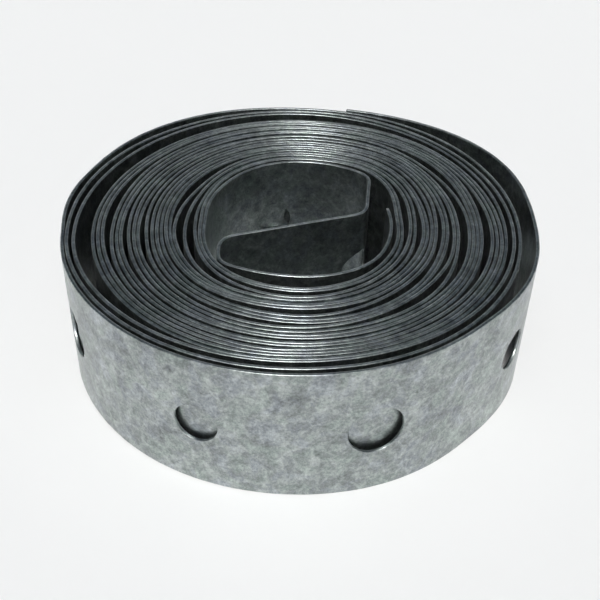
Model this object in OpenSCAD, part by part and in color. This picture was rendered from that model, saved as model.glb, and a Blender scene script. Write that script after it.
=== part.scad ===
// A coil of galvanized band iron: one steel strip, punched with a row of large and small
// nail holes, rolled up and left to lie loose. Its inner end folds back across the bore as an S.
// Millimetres. +Z is up, the coil rests on Z = 0 and the origin is under the middle of the coil.

/* [Band] */
// Width of the band, which is the height of the coil
band_w = 19.05; // [12:0.05:32]
// Thickness of the zinc-coated sheet
band_t = 0.48; // [0.36:0.02:0.6]

/* [Holes] */
// Diameter of the large holes, which take a bolt
large_d = 6.8; // [5:0.1:8]
// Diameter of the small holes, which take a nail
small_d = 5.4; // [3:0.1:6]
// Mean spacing of the holes along the band, centre to centre
hole_pitch = 22.02; // [16:0.02:40]
// How far the large holes sit from the middle between their small neighbours
large_shift = 1.1; // [0:0.1:2]
// From the outer end of the band to its first hole
end_margin = 14.25; // [6:0.25:20]

/* [Coil] */
// Turns from the wall of the bore to the outer end
turns = 23; // [6:1:26]
// Mean radius of the innermost turn
bore_r = 13.4; // [11:0.1:18]
// Usual gap between one turn and the next
turn_gap = 0.22; // [0.2:0.01:0.6]
// How far the bore is drawn out to front and back, and in at its sides
bore_oval = 1.15; // [0:0.05:1.5]
// The same at the outermost turn
rim_oval = 0.55; // [0:0.05:1.5]
// How far the bore sits forward of the coil's middle
bore_forward = 1.15; // [0:0.05:1.5]
// The same for the outermost turn, before it springs loose
rim_forward = 1.6; // [0:0.05:2]

/* [Slack] */
// Width of the slack that opens inside the three outermost turns, behind and to the left
slack = 1.65; // [1:0.05:2]
// How far the outermost turns spring off one another, as a share of the bulges listed below
spring = 1; // [0:0.1:1.1]

/* [Tail] */
// Radius of the two tight bends of the tail
bend_r = 2.5; // [1.5:0.1:3.5]
// Angle at which the tail crosses the bore
cross_angle = 18.5; // [17:0.5:22]
// Room between the tail and the wall of the bore, at the front
tail_room = 2.1; // [1.8:0.1:3]
// How far the fold at the back right pushes the inner turns out
fold_push = 1.2; // [1:0.05:2]

/* [Hidden] */

zinc = [0.62, 0.65, 0.66];

steps = 40;              // points on one turn
bend_step = 15;          // degrees from point to point in the tight bends
sharp = 40;              // degrees over a hole, above which it is wrapped round its bend
start_at = 90;           // bearing of the first turn's start, at the back
end_at = 77;             // bearing of the band's outer end
fade_turns = 23;         // turns over which the oval of the bore and the push of the fold die out
slack_turns = 3.4;       // turns, counted from the outer end, that the slack sets apart

// Bulges of the loose outer turns. The first number is how far in from the outer end a bulge
// lies, in degrees of winding from the back; then its reach to either side and its height.
bulges = [
    [60, 55, 3.1],       // outermost turn, right: it bows away before its end comes back in
    [110, 30, 1.25],
    [275, 20, 0.6],      // left
    [315, 55, 1.7],      // back left
    [400, 80, 0.5],      // second turn, right
    [655, 60, 0.6],      // left
    [750, 75, -0.4],     // third turn, right: it lies against the fourth
    [1130, 140, -0.4],   // fourth turn, right
];

// Gaps differ from turn to turn, because the band was rolled by hand. Each turn's own gap
// is up to this share more or less than the usual one.
uneven = 0.55;
gap_step = 113;          // degrees from turn to turn, in the sine that tells the gaps apart
function gap_after(k) = turn_gap * (1 + uneven * sin(gap_step * (turns - k)));
stack = [for (k = 0, sum = 0; k <= turns + 1; sum = sum + band_t + gap_after(k), k = k + 1) sum];

// Height of the pile of turns after n turns.
function pile(n) = let (k = floor(n)) stack[k] + (n - k) * (stack[k + 1] - stack[k]);

// A smooth rise from 0 to 1 as x goes from 0 to 1.
function ease(x) = let (c = min(max(x, 0), 1)) c * c * (3 - 2 * c);

// 1 at the bearing `at`, fading to 0 over the angle `before` on one side and `after` on the other.
function swell(a, at, before, after) =
    let (d = (a - at + 540) % 360 - 180)
    ease(1 - (d < 0 ? -d / before : d / after));

// How far the bulges stand out, at a given number of turns in from the outer end.
function sum(list, i = 0) = i < len(list) ? list[i] + sum(list, i + 1) : 0;
function bulge(left) = sum([for (b = bulges) b[2] * ease(1 - abs(360 * left - b[0]) / b[1])]);

// Radius of the band's centreline after n turns, at the bearing a.
function turn_r(n, a) =
    let (left = turns - n, fade = max(0, 1 - n / fade_turns),
        oval = rim_oval + (bore_oval - rim_oval) * fade,
        forward = rim_forward + (bore_forward - rim_forward) * fade)
    bore_r + pile(n) - oval * cos(2 * a) - forward * sin(a)
    + fold_push * fade * (swell(a, 47, 50, 40) + 0.4 * swell(a, 226, 40, 40))
    + (left < slack_turns ? slack * min(1, 1.5 * swell(a, 150, 190, 130)) : 0)
    + spring * bulge(left);

last_n = turns + (end_at - start_at) / 360;
coil = [for (i = [0 : ceil(last_n * steps)])
    let (n = min(i / steps, last_n), a = start_at + 360 * n) turn_r(n, a) * [cos(a), sin(a)]];

// The tail, walked from the start of the first turn back to the band's inner end. Each entry is
// a length and the angle turned through along it, in degrees, with right turns negative.
function arc(r, angle) = [r * PI * abs(angle) / 180, angle];
back_arc = 36;           // degrees along the back, before the first fold
fold = 59;               // degrees of the first fold
function tail(drop) = [
    arc(1.07 * bore_r, -back_arc),
    arc(bend_r, -fold),
    [drop, 0],
    arc(bend_r, -85 + cross_angle),   // out of the first fold
    [1.157 * bore_r / cos(cross_angle), 0],   // across the bore
    arc(bend_r, 72),                  // into the second fold
    [0.13 * bore_r, 0],
    arc(bend_r, 83 - cross_angle),    // out of it
    arc(1.55 * bore_r, 28),           // along the front
    arc(0.93 * bore_r, 26),
    arc(0.68 * bore_r, 40),           // up into the right side
    arc(1.25 * bore_r, 32),
];

// The tail in short strides, none longer than this or turning more than bend_step.
longest_stride = 2.5;
function stride(m, heading) = m[0] * [cos(heading + m[1] / 2), sin(heading + m[1] / 2)];
function walk(path) =
    let (strides = [for (m = path)
        let (k = max(1, ceil(abs(m[1]) / bend_step), ceil(m[0] / longest_stride)))
        for (j = [1 : k]) m / k])
    [for (i = 0, p = coil[0], h = 0; i < len(strides);
            p = p + stride(strides[i], h), h = h + strides[i][1], i = i + 1)
        p + stride(strides[i], h)];

// The straight after the first fold drops the tail so far that its front keeps tail_room.
tail_front = turn_r(0.5, 270) - band_t - tail_room;
drop = (tail_front + min([for (p = walk(tail(0))) p.y])) / sin(back_arc + fold);
tail_walk = walk(tail(drop));

// The whole centreline, from the inner end to the outer end, and the band's left-hand side on it.
function reversed(list) = [for (i = [len(list) - 1 : -1 : 0]) list[i]];
loose_line = concat(reversed(tail_walk), coil);
last = len(loose_line) - 1;
middle = [for (k = [0, 1]) let (v = [for (p = loose_line) p[k]]) (min(v) + max(v)) / 2];
line = [for (p = loose_line) p - middle];
normals = [for (i = [0 : last])
    let (d = line[min(i + 1, last)] - line[max(i - 1, 0)]) [-d.y, d.x] / norm(d)];

// Outline of the stretch of band from point a to point b, half as thick as h.
function ribbon(a, b, h) = concat(
    [for (i = [a : b]) line[i] + h * normals[i]],
    [for (i = [b : -1 : a]) line[i] - h * normals[i]]);

// Length of the band up to each point, and what lies at a given length.
gone = [for (i = 0, s = 0; i <= last; i = i + 1, s = s + (i <= last ? norm(line[i] - line[i - 1]) : 0)) s];
xs = [for (i = [0 : last]) [gone[i], line[i].x]];
ys = [for (i = [0 : last]) [gone[i], line[i].y]];
nxs = [for (i = [0 : last]) [gone[i], normals[i].x]];
nys = [for (i = [0 : last]) [gone[i], normals[i].y]];
steps_at = [for (i = [0 : last]) [gone[i], i]];

hole_count = floor((gone[last] - end_margin - large_shift - large_d) / hole_pitch) + 1;
hole_spare = 0.025;      // how far a hole's cutter stands out of each face of the band
wrap_spare = 0.15;       // the same where the hole goes round a tight bend
hole_sides = 16;

// One strip of sheet steel, rolled up with its tail.
module rolled_strip() {
    linear_extrude(band_w) polygon(ribbon(0, last, band_t / 2));
}

// How far the band turns, in degrees, over a hole of diameter d at the length s.
function turning(s, d) =
    let (n = normals[round(lookup(s - d / 2, steps_at))], m = normals[round(lookup(s + d / 2, steps_at))])
    acos(min(1, n * m));

// Cutter of a hole of diameter d, at the length s along the band. It is held to that one turn.
module hole(s, d) {
    a = floor(lookup(s - d / 2 - 0.3, steps_at));
    b = ceil(lookup(s + d / 2 + 0.3, steps_at));
    n = normals[round(lookup(s, steps_at))];
    intersection() {
        translate([lookup(s, xs), lookup(s, ys), band_w / 2])
            rotate([0, 90, atan2(n.y, n.x)])
                cylinder(d = d, h = 2 * d, center = true, $fn = hole_sides);
        linear_extrude(band_w) polygon(ribbon(a, b, band_t / 2 + hole_spare));
    }
}

// The same hole where the band bends sharply: its round outline, punched while the band was
// flat, is wrapped round the bend.
module wrapped_hole(s, d, sides = hole_sides) {
    h = band_t / 2 + wrap_spare;
    rim = [for (side = [h, -h], k = [0 : sides - 1])
        let (u = s - d / 2 * cos(360 * k / sides), n = [lookup(u, nxs), lookup(u, nys)])
        [lookup(u, xs) + side * n.x, lookup(u, ys) + side * n.y, band_w / 2 + d / 2 * sin(360 * k / sides)]];
    walls = [for (k = [0 : sides - 1]) let (j = (k + 1) % sides) each
        [[k, j, sides + j], [k, sides + j, sides + k]]];
    strips = [for (k = [0 : sides / 2 - 1]) let (up = [k, k + 1], down = [sides - k - 1, (sides - k) % sides])
        k == 0 ? [0, 1, sides - 1] : k == sides / 2 - 1 ? [k, k + 1, k + 2] : concat(up, down)];
    outer = [for (f = strips) reversed(f)];
    inner = [for (f = strips) [for (v = f) v + sides]];
    polyhedron(rim, concat(walls, outer, inner));
}

module band() {
    color(zinc) difference() {
        rolled_strip();
        for (i = [0 : hole_count - 1]) let (
                large = i % 2 == 1, d = large ? large_d : small_d,
                s = gone[last] - end_margin - i * hole_pitch - (large ? large_shift : 0))
            if (turning(s, d) > sharp) wrapped_hole(s, d); else hole(s, d);
    }
}

band();
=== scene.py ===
# %% [markdown]
# # A coil of galvanized band iron
# One long strip of zinc-coated sheet steel, punched with a row of large and small nail holes and
# rolled up by hand. The CAD model gives its size, its place and the path that the band follows.
# Here the same band is made again with smooth curves, softened edges and a zinc finish.
# Blender works in metres. Sizes are written in millimetres, and mm turns them into metres.

# %% Load the CAD frame
import bpy
from math import sin, cos, floor, ceil, radians, pi
from mathutils import Matrix, Vector


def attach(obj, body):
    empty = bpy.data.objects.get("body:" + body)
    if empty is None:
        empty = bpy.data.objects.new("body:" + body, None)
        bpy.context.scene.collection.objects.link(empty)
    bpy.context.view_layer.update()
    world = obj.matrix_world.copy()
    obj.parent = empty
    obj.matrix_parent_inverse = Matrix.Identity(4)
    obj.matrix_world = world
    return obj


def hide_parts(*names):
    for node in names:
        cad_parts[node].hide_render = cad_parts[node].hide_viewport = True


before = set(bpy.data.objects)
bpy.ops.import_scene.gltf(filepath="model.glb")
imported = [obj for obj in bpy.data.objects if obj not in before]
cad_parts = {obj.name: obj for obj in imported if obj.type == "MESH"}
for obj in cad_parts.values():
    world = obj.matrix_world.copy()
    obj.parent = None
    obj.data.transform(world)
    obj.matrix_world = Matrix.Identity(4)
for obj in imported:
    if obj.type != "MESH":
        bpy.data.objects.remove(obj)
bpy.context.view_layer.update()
mm = 0.001

# %% [markdown]
# ## Camera
# A coil is looked at from a little above, so that both its outer wall and its turns show.
# The camera is placed first, because every later choice is judged through it. It could be turned
# by three angles, but the way it looks and the way up are easier to read, so those are given.

# %% Camera
def aim_camera(place, forward, up, lens):
    """A camera at a place, looking along forward, with up towards the top of the picture."""
    bpy.ops.object.camera_add(location=place)
    camera = bpy.context.object
    camera.data.lens, camera.data.sensor_width = lens, 36
    camera.data.clip_start, camera.data.clip_end = 0.005, 40
    forward, up = Vector(forward).normalized(), Vector(up).normalized()
    right = forward.cross(up)
    camera.rotation_euler = Matrix((right, up, -forward)).transposed().to_euler()
    bpy.context.scene.camera = camera
    return camera

camera = aim_camera(place=(-0.00003, -0.105002, 0.088264), forward=(0.002442, 0.784449, -0.620188),
                    up=(-0.024884, 0.620046, 0.784171), lens=57.54)
print("camera %.0f mm away" % (camera.location.length / mm))

# %% [markdown]
# ## The path of the band
# Seen from above, the band is one line: a spiral of 23 turns whose inner end folds back across
# the bore as an S. It could be drawn by hand, but a spiral that is worked out from named values
# can be changed. The same values as in the CAD source give the same points here.

# %% Values of the band and the coil, in millimetres and degrees
band_w, band_t = 19.05, 0.48                        # width and thickness of the sheet
large_d, small_d = 6.8, 5.4                         # diameters of the two kinds of hole
hole_pitch, large_shift, end_margin = 22.02, 1.1, 14.25
turns, steps, start_at, end_at = 23, 40, 90, 77     # points on a turn, and bearings of its two ends
bore_r, turn_gap, uneven, gap_step = 13.4, 0.22, 0.55, 113
bore_oval, rim_oval, bore_forward, rim_forward = 1.15, 0.55, 1.15, 1.6
fade_turns, fold_push = 23, 1.2
slack, slack_turns = 1.65, 3.4                      # room inside the outermost turns
bend_r, cross_angle, tail_room = 2.5, 18.5, 2.1     # the tail
print("band %.2f x %.2f mm, holes of %.1f and %.1f mm" % (band_w, band_t, small_d, large_d))

# %% [markdown]
# ## Small sums in degrees
# Bearings run round the coil from the right, anticlockwise. A change that starts and ends gently
# looks like sheet metal that gives, and one that starts with a corner looks like a dent. So all
# bulges are built from one smooth rise, ease, and swell makes a hump of it at a bearing.

# %% Sine and cosine in degrees, a smooth rise and a smooth hump
def sind(a):
    return sin(radians(a))

def cosd(a):
    return cos(radians(a))

def ease(x):
    """0 below 0, 1 above 1, and a smooth rise between."""
    c = min(max(x, 0), 1)
    return c * c * (3 - 2 * c)

def swell(a, at, before, after):
    """1 at the bearing at, fading to 0 over the angles before and after it."""
    d = (a - at + 540) % 360 - 180
    return ease(1 - (-d / before if d < 0 else d / after))

print("half way up, the rise is at", ease(0.5))

# %% [markdown]
# ## How far out each turn lies
# A real coil is no perfect spiral. Its bore is drawn out to front and back, its turns lie at
# uneven distances, and the outermost ones spring away from the rest. The radius is therefore a
# sum: the bore, the pile of turns so far, the oval, the slack, and bulges of the loose turns.

# %% The radius of the band after n turns, at the bearing a
stack = [0]
for k in range(turns + 2):
    stack.append(stack[-1] + band_t + turn_gap * (1 + uneven * sind(gap_step * (turns - k))))

# Each bulge: degrees of winding in from the outer end, reach to either side, and height.
bulges = [(60, 55, 3.1), (110, 30, 1.25), (275, 20, 0.6), (315, 55, 1.7), (400, 80, 0.5),
          (655, 60, 0.6), (750, 75, -0.4), (1130, 140, -0.4)]

def turn_r(n, a):
    left, fade, k = turns - n, max(0, 1 - n / fade_turns), floor(n)
    oval = rim_oval + (bore_oval - rim_oval) * fade
    forward = rim_forward + (bore_forward - rim_forward) * fade
    pile = stack[k] + (n - k) * (stack[k + 1] - stack[k])
    r = bore_r + pile - oval * cosd(2 * a) - forward * sind(a)
    r += fold_push * fade * (swell(a, 47, 50, 40) + 0.4 * swell(a, 226, 40, 40))
    if left < slack_turns:
        r += slack * min(1, 1.5 * swell(a, 150, 190, 130))
    return r + sum(h * ease(1 - abs(360 * left - at) / reach) for at, reach, h in bulges)

print("radius from %.1f to %.1f mm" % (turn_r(0, start_at), turn_r(turns - 0.5, start_at)))

# %% [markdown]
# ## Winding it up
# The radius is read off at 40 places on every turn. Fewer would show as corners on the outer
# wall, and more would only make the mesh heavy, because a smooth curve is laid through them later.

# %% The spiral as points
last_n = turns + (end_at - start_at) / 360
wound = [min(i / steps, last_n) for i in range(ceil(last_n * steps) + 1)]

def rolled(radii):
    return [r * Vector((cosd(start_at + 360 * n), sind(start_at + 360 * n)))
            for n, r in zip(wound, radii)]

radii = [turn_r(n, start_at + 360 * n) for n in wound]
coil = rolled(radii)
print("spiral of", len(coil), "points")

# %% [markdown]
# ## How the turns lie against one another
# Turns of a coil that was rolled by hand bunch together in places and leave dark gaps in others.
# An even spiral looks like a drawing, so the spare room is moved about: at each opening some
# turns move in and some move out, and the turns beside them share the move and close up.

# %% Where the openings lie, and how far each turn moves for them
# Each opening: turns out along the winding, reach to either side, and extra width of the gap.
openings = [(22.55, 75, 0.35), (21.52, 95, 0.45), (18.45, 30, 0.5), (17.25, 40, 0.6),
            (17.58, 25, 0.4), (16.72, 40, 0.5), (14.3, 30, 0.35), (13.85, 32, 0.8),
            (12.75, 60, 0.6), (12.7, 30, 0.6), (11.3, 28, 0.4), (11.62, 35, 0.8),
            (10.47, 35, 0.5), (10.7, 35, 0.6), (8.62, 40, 0.7), (8.72, 25, 0.5),
            (7.5, 35, 0.5), (5.2, 60, 1.0), (4.28, 50, 0.9), (3.32, 70, 0.9),
            (2.5, 60, 0.8), (2.27, 30, 0.5), (4.72, 30, 0.6), (2.75, 45, 0.6)]
# Turns that lie further in than usual at the front: place, reach and depth, as above.
front = [(22.5, 60, -0.3), (21.5, 75, -0.6), (20.5, 80, -0.8), (19.5, 80, -0.5)]
shared_by = 3                                       # turns on either side that close up

def lie(n):
    """How far a turn is pushed out or in by the openings near it."""
    push = 0
    for at, reach, wide in openings:
        away = round(n - at)
        window = ease(1 - abs(n - at - away) * 360 / reach)
        share = 1 - (away if away >= 0 else -away - 1) / shared_by
        push += window * wide / 2 * max(0, share) * (1 if away >= 0 else -1)
    return push * ease((n - 0.8) / 0.6) * ease((22.3 - n) / 1.0)

for i, n in enumerate(wound):
    radii[i] += lie(n) + sum(h * ease(1 - abs(n - at) * 360 / reach) for at, reach, h in front)
print(len(openings), "openings between the turns")

# %% [markdown]
# ## No turn inside another
# After those moves some turns would cut through their neighbours. One pass inwards and one pass
# outwards hold every turn at least a hair from the one before it, as steel that touches steel.

# %% Keep the turns apart
least_gap = 0.04
for i in range(len(radii) - 1 - steps, -1, -1):
    radii[i] = min(radii[i], radii[i + steps] - band_t - least_gap)
for i in range(steps, len(radii)):
    radii[i] = max(radii[i], radii[i - steps] + band_t + least_gap)
gaps = [radii[i + steps] - radii[i] - band_t for i in range(len(radii) - steps)]
print("gaps from %.2f to %.2f mm" % (min(gaps), max(gaps)))

# %% [markdown]
# ## The tail
# The inner end of the band runs along the back of the bore, folds, crosses the bore, folds again
# and follows the front wall. It is written as a list of straights and bends, as a bender would
# call them out: how long each is, and how many degrees the band turns in it.

# %% The bends of the tail
back_arc, fold = 36, 59

def arc(r, angle):
    return r * pi * abs(angle) / 180, angle

def tail(drop):
    return [arc(1.07 * bore_r, -back_arc), arc(bend_r, -fold), (drop, 0), arc(bend_r, -85 + cross_angle),
            (1.157 * bore_r / cosd(cross_angle), 0), arc(bend_r, 72), (0.13 * bore_r, 0),
            arc(bend_r, 83 - cross_angle), arc(1.55 * bore_r, 28), arc(0.93 * bore_r, 26),
            arc(0.68 * bore_r, 40), arc(1.25 * bore_r, 32)]

print("tail of", len(tail(0)), "bends and straights")

# %% [markdown]
# ## Walking the tail
# The list is walked in short strides from the start of the first turn. The straight after the
# first fold is not guessed: it is as long as it takes for the tail to keep its room at the front.

# %% The tail as points
bend_step, longest_stride = 15, 2.5                 # the most that one stride turns, and is long

def walk(path):
    p, heading, points = coil[0].copy(), 0, []
    for length, angle in path:
        k = max(1, ceil(abs(angle) / bend_step), ceil(length / longest_stride))
        for j in range(k):
            way = heading + angle / k / 2
            p = p + length / k * Vector((cosd(way), sind(way)))
            heading += angle / k
            points.append(p)
    return points

tail_front = turn_r(0.5, 270) - band_t - tail_room
drop = (tail_front + min(p.y for p in walk(tail(0)))) / sind(back_arc + fold)
tail_walk = walk(tail(drop))[::-1]
print("tail of %d points, straight of %.2f mm" % (len(tail_walk), drop))

# %% [markdown]
# ## From end to end
# Tail and spiral make one line, moved so that the coil's middle is at the origin, as in the CAD
# frame. The moved turns made the band a little shorter, so the spacing of the holes is
# shortened by the same share, and every hole stays where it was round the coil.

# %% The whole line, its length and the spacing of the holes
def length_of(points):
    return sum((b - a).length for a, b in zip(points, points[1:]))

middle = Vector([(min(q[k] for q in coil) + max(q[k] for q in coil)) / 2 for k in (0, 1)])
line = [q - middle for q in tail_walk + rolled(radii)]
band_length = length_of(line)
hole_pitch *= band_length / length_of(tail_walk + coil)
print("band %.1f mm long, middle at %.3f, %.3f" % (band_length, *middle))

# %% [markdown]
# ## Helpers for the modelling
# Blender's operators act on what is selected, so each step starts by selecting just one piece.
# A modifier is added, set and applied in one go, because the finished mesh is what counts.

# %% Helpers
def deselect():
    bpy.ops.object.select_all(action="DESELECT")

def apply_modifier(piece, kind, **settings):
    """Adds a modifier, sets it and applies it."""
    deselect()
    piece.select_set(True)
    bpy.context.view_layer.objects.active = piece
    modifier = piece.modifiers.new(kind.title(), kind)
    for name, value in settings.items():
        setattr(modifier, name, value)
    bpy.ops.object.modifier_apply(modifier=modifier.name)
    return piece

def faces_where(piece, test):
    """In edit mode, selects the faces whose centre and normal pass the test."""
    bpy.ops.object.mode_set(mode="OBJECT")
    for part in (piece.data.vertices, piece.data.edges):
        for item in part:
            item.select = False
    for face in piece.data.polygons:
        face.select = test(face.center, face.normal)
    bpy.ops.object.mode_set(mode="EDIT")
    bpy.ops.mesh.select_mode(type="FACE")

def span(piece):
    """How far a piece reaches on each axis, in millimetres, as text."""
    reach = [[v.co[k] / mm for v in piece.data.vertices] for k in range(3)]
    return ", ".join("%s %.2f to %.2f" % (axis, min(r), max(r)) for axis, r in zip("xyz", reach))

print("helpers are ready")

# %% [markdown]
# ## The strip, flat
# The real band is slit from sheet, punched flat and then rolled up, so it is made in that order.
# One length with one small and one large hole is made, and repeated later. A grid gives it
# columns of faces, which let it bend, and Solidify gives the sheet its thickness.

# %% One length of band, from half a pitch before a small hole to half a pitch after a large one
columns = 50
cell = 2 * hole_pitch * mm
first_small = (band_length - end_margin) * mm
cell_start = first_small - 1.5 * hole_pitch * mm
deselect()
bpy.ops.mesh.primitive_grid_add(x_subdivisions=columns, y_subdivisions=1, size=1, rotation=(pi / 2, 0, 0),
                                location=(cell_start + cell / 2, 0, band_w * mm / 2))
strip = bpy.context.object
strip.name = "zinc_band"
strip.scale = (cell, band_w * mm, 1)
bpy.ops.object.transform_apply(location=True, rotation=True, scale=True)
apply_modifier(strip, "SOLIDIFY", thickness=band_t * mm, offset=0)
print("strip", [round(d / mm, 3) for d in strip.dimensions], len(strip.data.polygons), "faces")

# %% [markdown]
# ## Punching
# A punch is a cylinder, and so is the tool here: it is added where the hole goes, cut away by
# Boolean and deleted. The large holes sit a little off the middle between the small ones.

# %% Punch the two holes
punch_sides = 32

def punch(at, diameter):
    deselect()
    bpy.ops.mesh.primitive_cylinder_add(vertices=punch_sides, radius=diameter * mm / 2, depth=4 * band_t * mm,
                                        location=(at, 0, band_w * mm / 2), rotation=(pi / 2, 0, 0))
    tool = bpy.context.object
    bpy.ops.object.transform_apply(location=True, rotation=True, scale=True)
    apply_modifier(strip, "BOOLEAN", object=tool, operation="DIFFERENCE", solver="EXACT")
    bpy.data.objects.remove(tool)

punch(first_small, small_d)
punch(first_small - (hole_pitch + large_shift) * mm, large_d)
print("punched:", len(strip.data.polygons), "faces")

# %% [markdown]
# ## Clean rims
# Where a column of the grid crosses a hole close to one of its corners, a very short edge is
# left. A bevel can be no wider than the shortest edge allows, so such corners are merged first.

# %% Merge corners that lie too close together
merged_below = 0.14
bpy.ops.object.mode_set(mode="EDIT")
bpy.ops.mesh.select_all(action="SELECT")
bpy.ops.mesh.remove_doubles(threshold=merged_below * mm)
bpy.ops.object.mode_set(mode="OBJECT")
ends = [[strip.data.vertices[v].co for v in edge.vertices] for edge in strip.data.edges]
shortest = min((a - b).length for a, b in ends) / mm
print("merged: %d faces, shortest edge %.3f mm" % (len(strip.data.polygons), shortest))

# %% [markdown]
# ## The whole length
# The real holes come from one pair of punches that strikes again and again. Array does the same
# with the finished length. Its two ends are opened first, so that the copies merge into one
# sheet with no walls left inside it.

# %% Open the ends and repeat the length
deselect()
strip.select_set(True)
bpy.context.view_layer.objects.active = strip
bpy.ops.object.mode_set(mode="EDIT")
faces_where(strip, lambda c, n: abs(n.x) > 0.99
            and min(abs(c.x - cell_start), abs(c.x - cell_start - cell)) < 1e-6)
bpy.ops.mesh.delete(type="ONLY_FACE")
bpy.ops.object.mode_set(mode="OBJECT")
pairs = ceil(band_length / (2 * hole_pitch)) + 1
apply_modifier(strip, "ARRAY", count=pairs, use_relative_offset=False, use_constant_offset=True,
               constant_offset_displace=(-cell, 0, 0), use_merge_vertices=True, merge_threshold=1e-6)
print("repeated %d times: %s, %d faces" % (pairs, span(strip), len(strip.data.polygons)))

# %% [markdown]
# ## Cut to length
# The band was snipped off square at both ends. At the outer end the open edge is extruded to the
# full length and closed with a face. At the inner end the spare holes are cut off by Bisect,
# which closes its own cut.

# %% Lengthen the outer end and cut the inner end square
bpy.ops.object.mode_set(mode="EDIT")
bpy.ops.mesh.select_mode(type="EDGE")
bpy.ops.object.mode_set(mode="OBJECT")
far = max(v.co.x for v in strip.data.vertices)
for edge in strip.data.edges:
    edge.select = all(strip.data.vertices[v].co.x > far - 1e-7 for v in edge.vertices)
bpy.ops.object.mode_set(mode="EDIT")
bpy.ops.mesh.extrude_region_move(TRANSFORM_OT_translate={"value": (band_length * mm - far, 0, 0)})
bpy.ops.mesh.edge_face_add()
bpy.ops.mesh.select_all(action="SELECT")
bpy.ops.mesh.bisect(plane_co=(0, 0, 0), plane_no=(-1, 0, 0), clear_outer=True, use_fill=True)
bpy.ops.mesh.select_all(action="SELECT")
bpy.ops.mesh.remove_doubles(threshold=1e-6)
bpy.ops.object.mode_set(mode="OBJECT")
print("cut to length:", span(strip))

# %% [markdown]
# ## Not quite level
# The turns of a loose coil stand a little higher or lower than one another, which shows as light
# and dark lines on its top. Displace moves the flat strip up and down by a slow noise, before it
# is rolled up, so neighbouring turns differ though each one runs smoothly.

# %% Let the band waver up and down
waver = bpy.data.textures.new("waver", "CLOUDS")
waver.noise_scale, waver.noise_depth = 0.035, 1
apply_modifier(strip, "DISPLACE", texture=waver, texture_coords="LOCAL", direction="Z", mid_level=0.3,
               strength=0.45 * mm)
print("wavering:", span(strip))

# %% [markdown]
# ## Softened edges
# No sheared or punched edge is a perfect corner, and it is the softened corner that catches the
# light. A narrow bevel is put on all edges sharper than 50 degrees: those of the band, and those
# of the holes.

# %% Soften the sheared and punched edges
edge_width = 0.09
apply_modifier(strip, "BEVEL", width=edge_width * mm, segments=1, limit_method="ANGLE",
               angle_limit=radians(50), use_clamp_overlap=True)
print("softened:", len(strip.data.polygons), "faces")

# %% [markdown]
# ## Three finishes on one strip
# Zinc covers the two sides of the sheet. The cut edges show bare steel, darkened as painted shade
# on the tops of the turns and in the holes, and the burr on their outer side is rubbed bright and
# brightened further as a painted highlight. While the strip is flat, the way a face points tells
# which of the three it is, and the number of its material is set by that.

# %% Sort the faces by the way they point
coated_above, burr_and_highlight_below = 0.95, -0.4
for face in strip.data.polygons:
    side = face.normal.y
    # Faces leaning outwards get the burr: real rubbed steel plus a painted highlight. The tops, inner bevels
    # and hole walls get dark steel, partly painted shade.
    face.material_index = 0 if abs(side) > coated_above else 2 if side < burr_and_highlight_below else 1
slots = [face.material_index for face in strip.data.polygons]
print("%d faces coated, %d cut, %d burr" % tuple(slots.count(k) for k in range(3)))

# %% [markdown]
# ## The path as a curve
# The strip needs something to follow. A Bezier curve goes through the points of the path, and
# its handles are automatic, so that it runs smoothly from point to point.

# %% The path as a curve
path_data = bpy.data.curves.new("path", "CURVE")
path_data.dimensions, path_data.resolution_u = "2D", 4
path_data.use_stretch = path_data.use_deform_bounds = True
spline = path_data.splines.new("BEZIER")
spline.bezier_points.add(len(line) - 1)
for point, q in zip(spline.bezier_points, line):
    point.co = (q.x * mm, q.y * mm, 0)
    point.handle_left_type = point.handle_right_type = "AUTO"
path = bpy.data.objects.new("path", path_data)
bpy.context.scene.collection.objects.link(path)
bpy.context.view_layer.update()
print("path through", len(line), "points")

# %% [markdown]
# ## Rolling it up
# The Curve modifier bends the strip along the path. It could also be wound turn by turn, but
# this keeps the holes round on the sheet, and they curve with it as real ones do. Smooth shading
# with weighted normals then keeps the wide faces even and gives the bevels their glint.

# %% Bend the strip along the path and shade it smooth
apply_modifier(strip, "CURVE", object=path, deform_axis="POS_X")
bpy.data.objects.remove(path)
print("rolled up:", span(strip))
bpy.ops.object.shade_smooth_by_angle(angle=radians(60))
apply_modifier(strip, "WEIGHTED_NORMAL", weight=100, keep_sharp=True)

# %% [markdown]
# ## A small kit for materials
# A finish is built from a few patterns that are added up, stretched to a range and turned into
# colours. The same few moves come back in every finish, so each is a small function. All
# patterns are laid out by Object coordinates, so they stay on the band wherever it goes.

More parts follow.
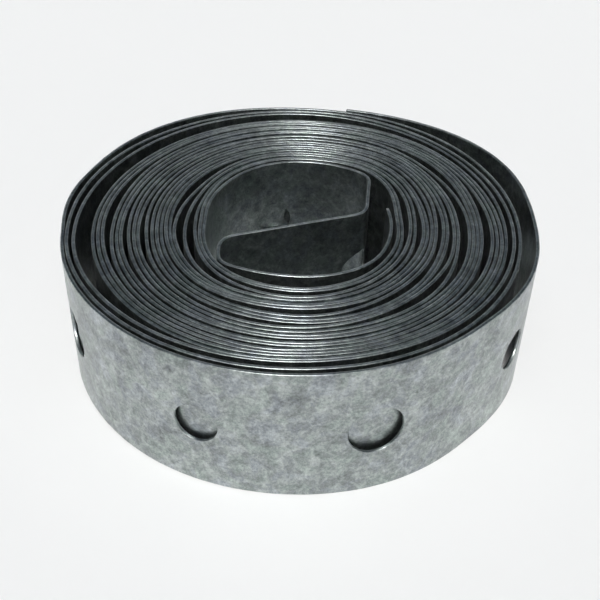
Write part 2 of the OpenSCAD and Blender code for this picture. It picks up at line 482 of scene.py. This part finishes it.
# %% Node helpers
def node_maker(material):
    nodes, links = material.node_tree.nodes, material.node_tree.links
    place = nodes.new("ShaderNodeTexCoord").outputs["Object"]

    def wire(value, socket):
        if isinstance(value, bpy.types.NodeSocket):
            links.new(value, socket)
        else:
            socket.default_value = value

    def texture(kind, vector=place, **settings):
        node = nodes.new("ShaderNodeTex" + kind)
        for name, value in settings.items():
            node.inputs[name].default_value = value
        links.new(vector, node.inputs["Vector"])
        return node

    def sum_of(*terms):
        """Adds value times weight over all the terms."""
        total = 0.0
        for value, weight in terms:
            node = nodes.new("ShaderNodeMath")
            node.operation = "MULTIPLY_ADD"
            for socket, part in zip(node.inputs, (value, weight, total)):
                wire(part, socket)
            total = node.outputs["Value"]
        return total

    def spread(value, low, high, to_low, to_high):
        """Stretches the range from low to high over the range from to_low to to_high."""
        node = nodes.new("ShaderNodeMapRange")
        for name, number in zip(("From Min", "From Max", "To Min", "To Max"), (low, high, to_low, to_high)):
            node.inputs[name].default_value = number
        links.new(value, node.inputs["Value"])
        return node.outputs["Result"]

    def ramp(value, *stops):
        """Turns a value from 0 to 1 into a colour, by stops of place and colour."""
        node = nodes.new("ShaderNodeValToRGB")
        while len(node.color_ramp.elements) < len(stops):
            node.color_ramp.elements.new(0.5)
        for element, (at, colour) in zip(node.color_ramp.elements, stops):
            element.position, element.color = at, (*colour, 1)
        links.new(value, node.inputs["Fac"])
        return node.outputs["Color"]

    def warped(amount, **settings):
        """The place, pushed about by a noise."""
        node = nodes.new("ShaderNodeVectorMath")
        node.operation = "MULTIPLY_ADD"
        links.new(texture("Noise", **settings).outputs["Color"], node.inputs[0])
        node.inputs[1].default_value = (amount, amount, amount)
        links.new(place, node.inputs[2])
        return node.outputs["Vector"]

    def bumped(height, strength, distance):
        node = nodes.new("ShaderNodeBump")
        node.inputs["Strength"].default_value = strength
        node.inputs["Distance"].default_value = distance
        links.new(height, node.inputs["Height"])
        return node.outputs["Normal"]

    return texture, sum_of, spread, ramp, warped, bumped

print("node helpers are ready")

# %% [markdown]
# ## Zinc
# Hot-dip galvanizing leaves a dull spangle: crystals of zinc a millimetre or two across, with
# feathered edges, each one reflecting a little more or less than the next. Metal has no colour
# of its own beneath its reflections, so the spangle is a change of reflectance and roughness.
# Crystals, their borders, feathery fronds, soft clouds and a fine grain are added up to one grey.

# %% The zinc coat
def zinc_material():
    material = bpy.data.materials.new("zinc")
    material.use_nodes = True
    nodes, links = material.node_tree.nodes, material.node_tree.links
    texture, sum_of, spread, ramp, warped, bumped = node_maker(material)
    crystals = nodes.new("ShaderNodeSeparateColor")
    feathered = warped(0.0012, Scale=900, Detail=5, Roughness=0.75)
    links.new(texture("Voronoi", feathered, Scale=900).outputs["Color"], crystals.inputs["Color"])
    border = texture("Voronoi", warped(0.0022, Scale=520, Detail=6, Roughness=0.7), Scale=420)
    border.feature = "DISTANCE_TO_EDGE"
    veins = spread(border.outputs["Distance"], 0.0, 0.16, 1.0, 0.0)
    fronds = texture("Noise", Scale=760, Detail=7, Roughness=0.68, Distortion=0.6).outputs["Fac"]
    clouds = texture("Noise", Scale=210, Detail=4, Roughness=0.6).outputs["Fac"]
    tint = texture("Noise", Scale=330, Detail=3, Roughness=0.6, Distortion=0.8).outputs["Fac"]
    grain = texture("Noise", Scale=3000, Detail=3, Roughness=0.8).outputs["Fac"]
    grey = sum_of((crystals.outputs[0], 0.09), (fronds, 0.62), (clouds, 0.42), (grain, 0.7), (veins, 0.11))
    colour = ramp(spread(grey, 0.6, 1.3, 0.0, 1.0), (0.05, (0.13, 0.142, 0.144)),
                  (0.5, (0.335, 0.362, 0.36)), (0.95, (0.62, 0.66, 0.645)))
    cast = ramp(tint, (0.38, (0.96, 1.0, 0.97)), (0.5, (1.0, 1.0, 1.0)), (0.62, (0.98, 0.985, 1.04)))
    tinted = nodes.new("ShaderNodeMix")
    tinted.data_type, tinted.blend_type = "RGBA", "MULTIPLY"
    tinted.inputs["Factor"].default_value = 1.0
    links.new(colour, tinted.inputs["A"])
    links.new(cast, tinted.inputs["B"])
    shader = nodes["Principled BSDF"]
    shader.inputs["Metallic"].default_value = 1.0
    links.new(tinted.outputs["Result"], shader.inputs["Base Color"])
    links.new(spread(grey, 0.6, 1.2, 0.31, 0.39), shader.inputs["Roughness"])
    links.new(bumped(grey, 0.3, 0.00004), shader.inputs["Normal"])
    return material

zinc = zinc_material()
print("zinc of", len(zinc.node_tree.nodes), "nodes")

# %% [markdown]
# ## Cut steel with painted shade, and rubbed burr with a painted highlight
# Where the zinced sheet was sheared and punched, bare steel shows: dark where it was torn, and
# darker still as painted shade on the tops of the turns and in the holes; bright where its burr
# was rubbed, and brighter still as a painted highlight on the outer bevels of the edges and holes.
# One function makes both, from a patchy noise with a fine grain that sets the colour between a
# dark and a bright one, and the roughness with it.

# %% The sheared edges and the walls of the holes, dark steel with painted shade, and their outer burr, rubbed bright with a painted highlight
def cut_steel_material(name, dark, bright, rough, smooth):
    material = bpy.data.materials.new(name)
    material.use_nodes = True
    texture, sum_of, spread, ramp, warped, bumped = node_maker(material)
    patches = texture("Noise", Scale=260, Detail=4, Roughness=0.6).outputs["Fac"]
    grain = texture("Noise", Scale=5200, Detail=2, Roughness=0.6).outputs["Fac"]
    grey = spread(sum_of((patches, 0.9), (grain, 0.3)), 0.42, 0.78, 0.0, 1.0)
    shader = material.node_tree.nodes["Principled BSDF"]
    shader.inputs["Metallic"].default_value = 1.0
    material.node_tree.links.new(ramp(grey, (0.0, dark), (1.0, bright)), shader.inputs["Base Color"])
    material.node_tree.links.new(spread(grey, 0.0, 1.0, rough, smooth), shader.inputs["Roughness"])
    material.node_tree.links.new(bumped(grey, 0.5, 0.00006), shader.inputs["Normal"])
    return material

# Dark bare steel for the tops, inner bevels and hole walls, set darker than steel as painted shade.
cut_steel_and_painted_shade = cut_steel_material("cut_steel_and_painted_shade", (0.04, 0.04, 0.043), (0.24, 0.237, 0.24), 0.38, 0.26)
# Bright rubbed burr for the outer bevels, set brighter than steel as a painted highlight.
rubbed_burr_and_painted_highlight = cut_steel_material("rubbed_burr_and_painted_highlight", (0.36, 0.36, 0.36), (0.92, 0.92, 0.91), 0.36, 0.22)
print("made", cut_steel_and_painted_shade.name, "and", rubbed_burr_and_painted_highlight.name)

# %% [markdown]
# ## Dressing the band
# The three materials go on in the order of the numbers that the faces were given. The finished
# strip then takes the place of the plain CAD band, and goes wherever that band would go.

# %% Put the finishes on and take the CAD band's place
strip.data.materials.clear()
for material in (zinc, cut_steel_and_painted_shade, rubbed_burr_and_painted_highlight):
    strip.data.materials.append(material)
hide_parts("band")
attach(strip, "root")
print(strip.name, "has", [material.name for material in strip.data.materials])

# %% [markdown]
# ## Floor
# The coil lies on a sheet of matt white paper. What it mirrors is what one sees on bright metal,
# and the outer wall mirrors the floor, so the paper is wide and has no shine of its own.

# %% Floor
paper_white, floor_size = 0.9, 14
deselect()
bpy.ops.mesh.primitive_plane_add(size=floor_size, location=(0, 0, 0))
floor_sheet = bpy.context.object
floor_sheet.name = "floor"
paper = bpy.data.materials.new("paper")
paper.use_nodes = True
matt = paper.node_tree.nodes["Principled BSDF"]
matt.inputs["Base Color"].default_value = (paper_white, paper_white, paper_white, 1)
matt.inputs["Roughness"].default_value = 0.9
matt.inputs["Specular IOR Level"].default_value = 0.0
floor_sheet.data.materials.append(paper)
print("floor of %d m" % floor_size)

# %% [markdown]
# ## Backdrop
# Behind the floor the sky would show. A low round wall far off hides it from a camera that sees
# that far, and is what upright bright edges mirror. It goes all the way round, so it need not be
# moved with the camera.

# %% Backdrop
wall_radius, wall_height = 6, 2
deselect()
bpy.ops.mesh.primitive_cylinder_add(vertices=96, radius=wall_radius, depth=wall_height,
                                    end_fill_type="NOTHING", location=(0, 0, wall_height / 2))
backdrop = bpy.context.object
backdrop.name = "backdrop"
print("backdrop %d m off" % wall_radius)

# %% [markdown]
# ## The backdrop's glow
# Lamps on the backdrop would throw more light on the coil. So the wall has a glow of its own that
# is seen only by the camera, in metal and through glass. To all other light it is plain white
# cloth. Light Path tells the kinds of light apart, and Maximum joins the three that see the glow.

# %% A screen that glows for the camera and for reflections alone
screen = bpy.data.materials.new("screen")
screen.use_nodes = True
nodes, links = screen.node_tree.nodes, screen.node_tree.links
cloth = nodes["Principled BSDF"]
cloth.inputs["Base Color"].default_value = (0.9, 0.9, 0.9, 1)
cloth.inputs["Specular IOR Level"].default_value = 0.0
glow = nodes.new("ShaderNodeEmission")
glow.inputs["Color"].default_value = (0.89, 0.895, 0.9, 1)
rays = nodes.new("ShaderNodeLightPath")
seen = rays.outputs["Is Camera Ray"]
for kind in ("Is Glossy Ray", "Is Transmission Ray"):
    either = nodes.new("ShaderNodeMath")
    either.operation = "MAXIMUM"
    links.new(seen, either.inputs[0])
    links.new(rays.outputs[kind], either.inputs[1])
    seen = either.outputs["Value"]
choice = nodes.new("ShaderNodeMixShader")
links.new(seen, choice.inputs["Fac"])
links.new(cloth.outputs["BSDF"], choice.inputs[1])
links.new(glow.outputs["Emission"], choice.inputs[2])
links.new(choice.outputs["Shader"], nodes["Material Output"].inputs["Surface"])
backdrop.data.materials.append(screen)
print("screen of", len(nodes), "nodes")

# %% [markdown]
# ## Light
# One large soft lamp in front, high over the camera, lights the floor, and the floor lights the
# outer wall. The same lamp glints on the softened edges that face it. A wide dim lamp overhead
# keeps the shadow soft, and a faint one behind lifts the tops of the turns. They are suns, whose
# light comes from a direction alone, so the coil may be moved without lighting it anew.

# %% Light
def soft_sun(name, azimuth, elevation, angle, strength, colour=(1, 1, 1)):
    """A lamp without a place, from a direction, as wide in the sky as angle."""
    bpy.ops.object.light_add(type="SUN", location=(0, 0, 1))
    lamp = bpy.context.object
    lamp.name = name
    lamp.data.angle, lamp.data.energy, lamp.data.color = radians(angle), strength, colour
    towards = Vector((cosd(azimuth) * cosd(elevation), sind(azimuth) * cosd(elevation), sind(elevation)))
    lamp.rotation_euler = (-towards).to_track_quat("-Z", "Y").to_euler()
    return lamp

lamps = [soft_sun("front", -96, 50, 14, 3.2, (1, 0.985, 0.965)), soft_sun("back", 90, 38, 40, 0.035),
         soft_sun("above", 0, 89, 60, 0.42)]
print("lamps:", [lamp.name for lamp in lamps])

# %% [markdown]
# ## Sky
# Bright metal that faces upwards mirrors the sky, so the sky is kept dim, or the tops of the
# turns would be pale. A little blue in it gives the depths of the bore the cold look of zinc.

# %% Sky, and colours shown as they are
world = bpy.data.worlds.new("studio")
bpy.context.scene.world = world
world.use_nodes = True
world.node_tree.nodes["Background"].inputs["Color"].default_value = (0.1, 0.5, 0.85, 1)
world.node_tree.nodes["Background"].inputs["Strength"].default_value = 0.06
bpy.context.scene.view_settings.view_transform = "Standard"
print("sky:", world.name)
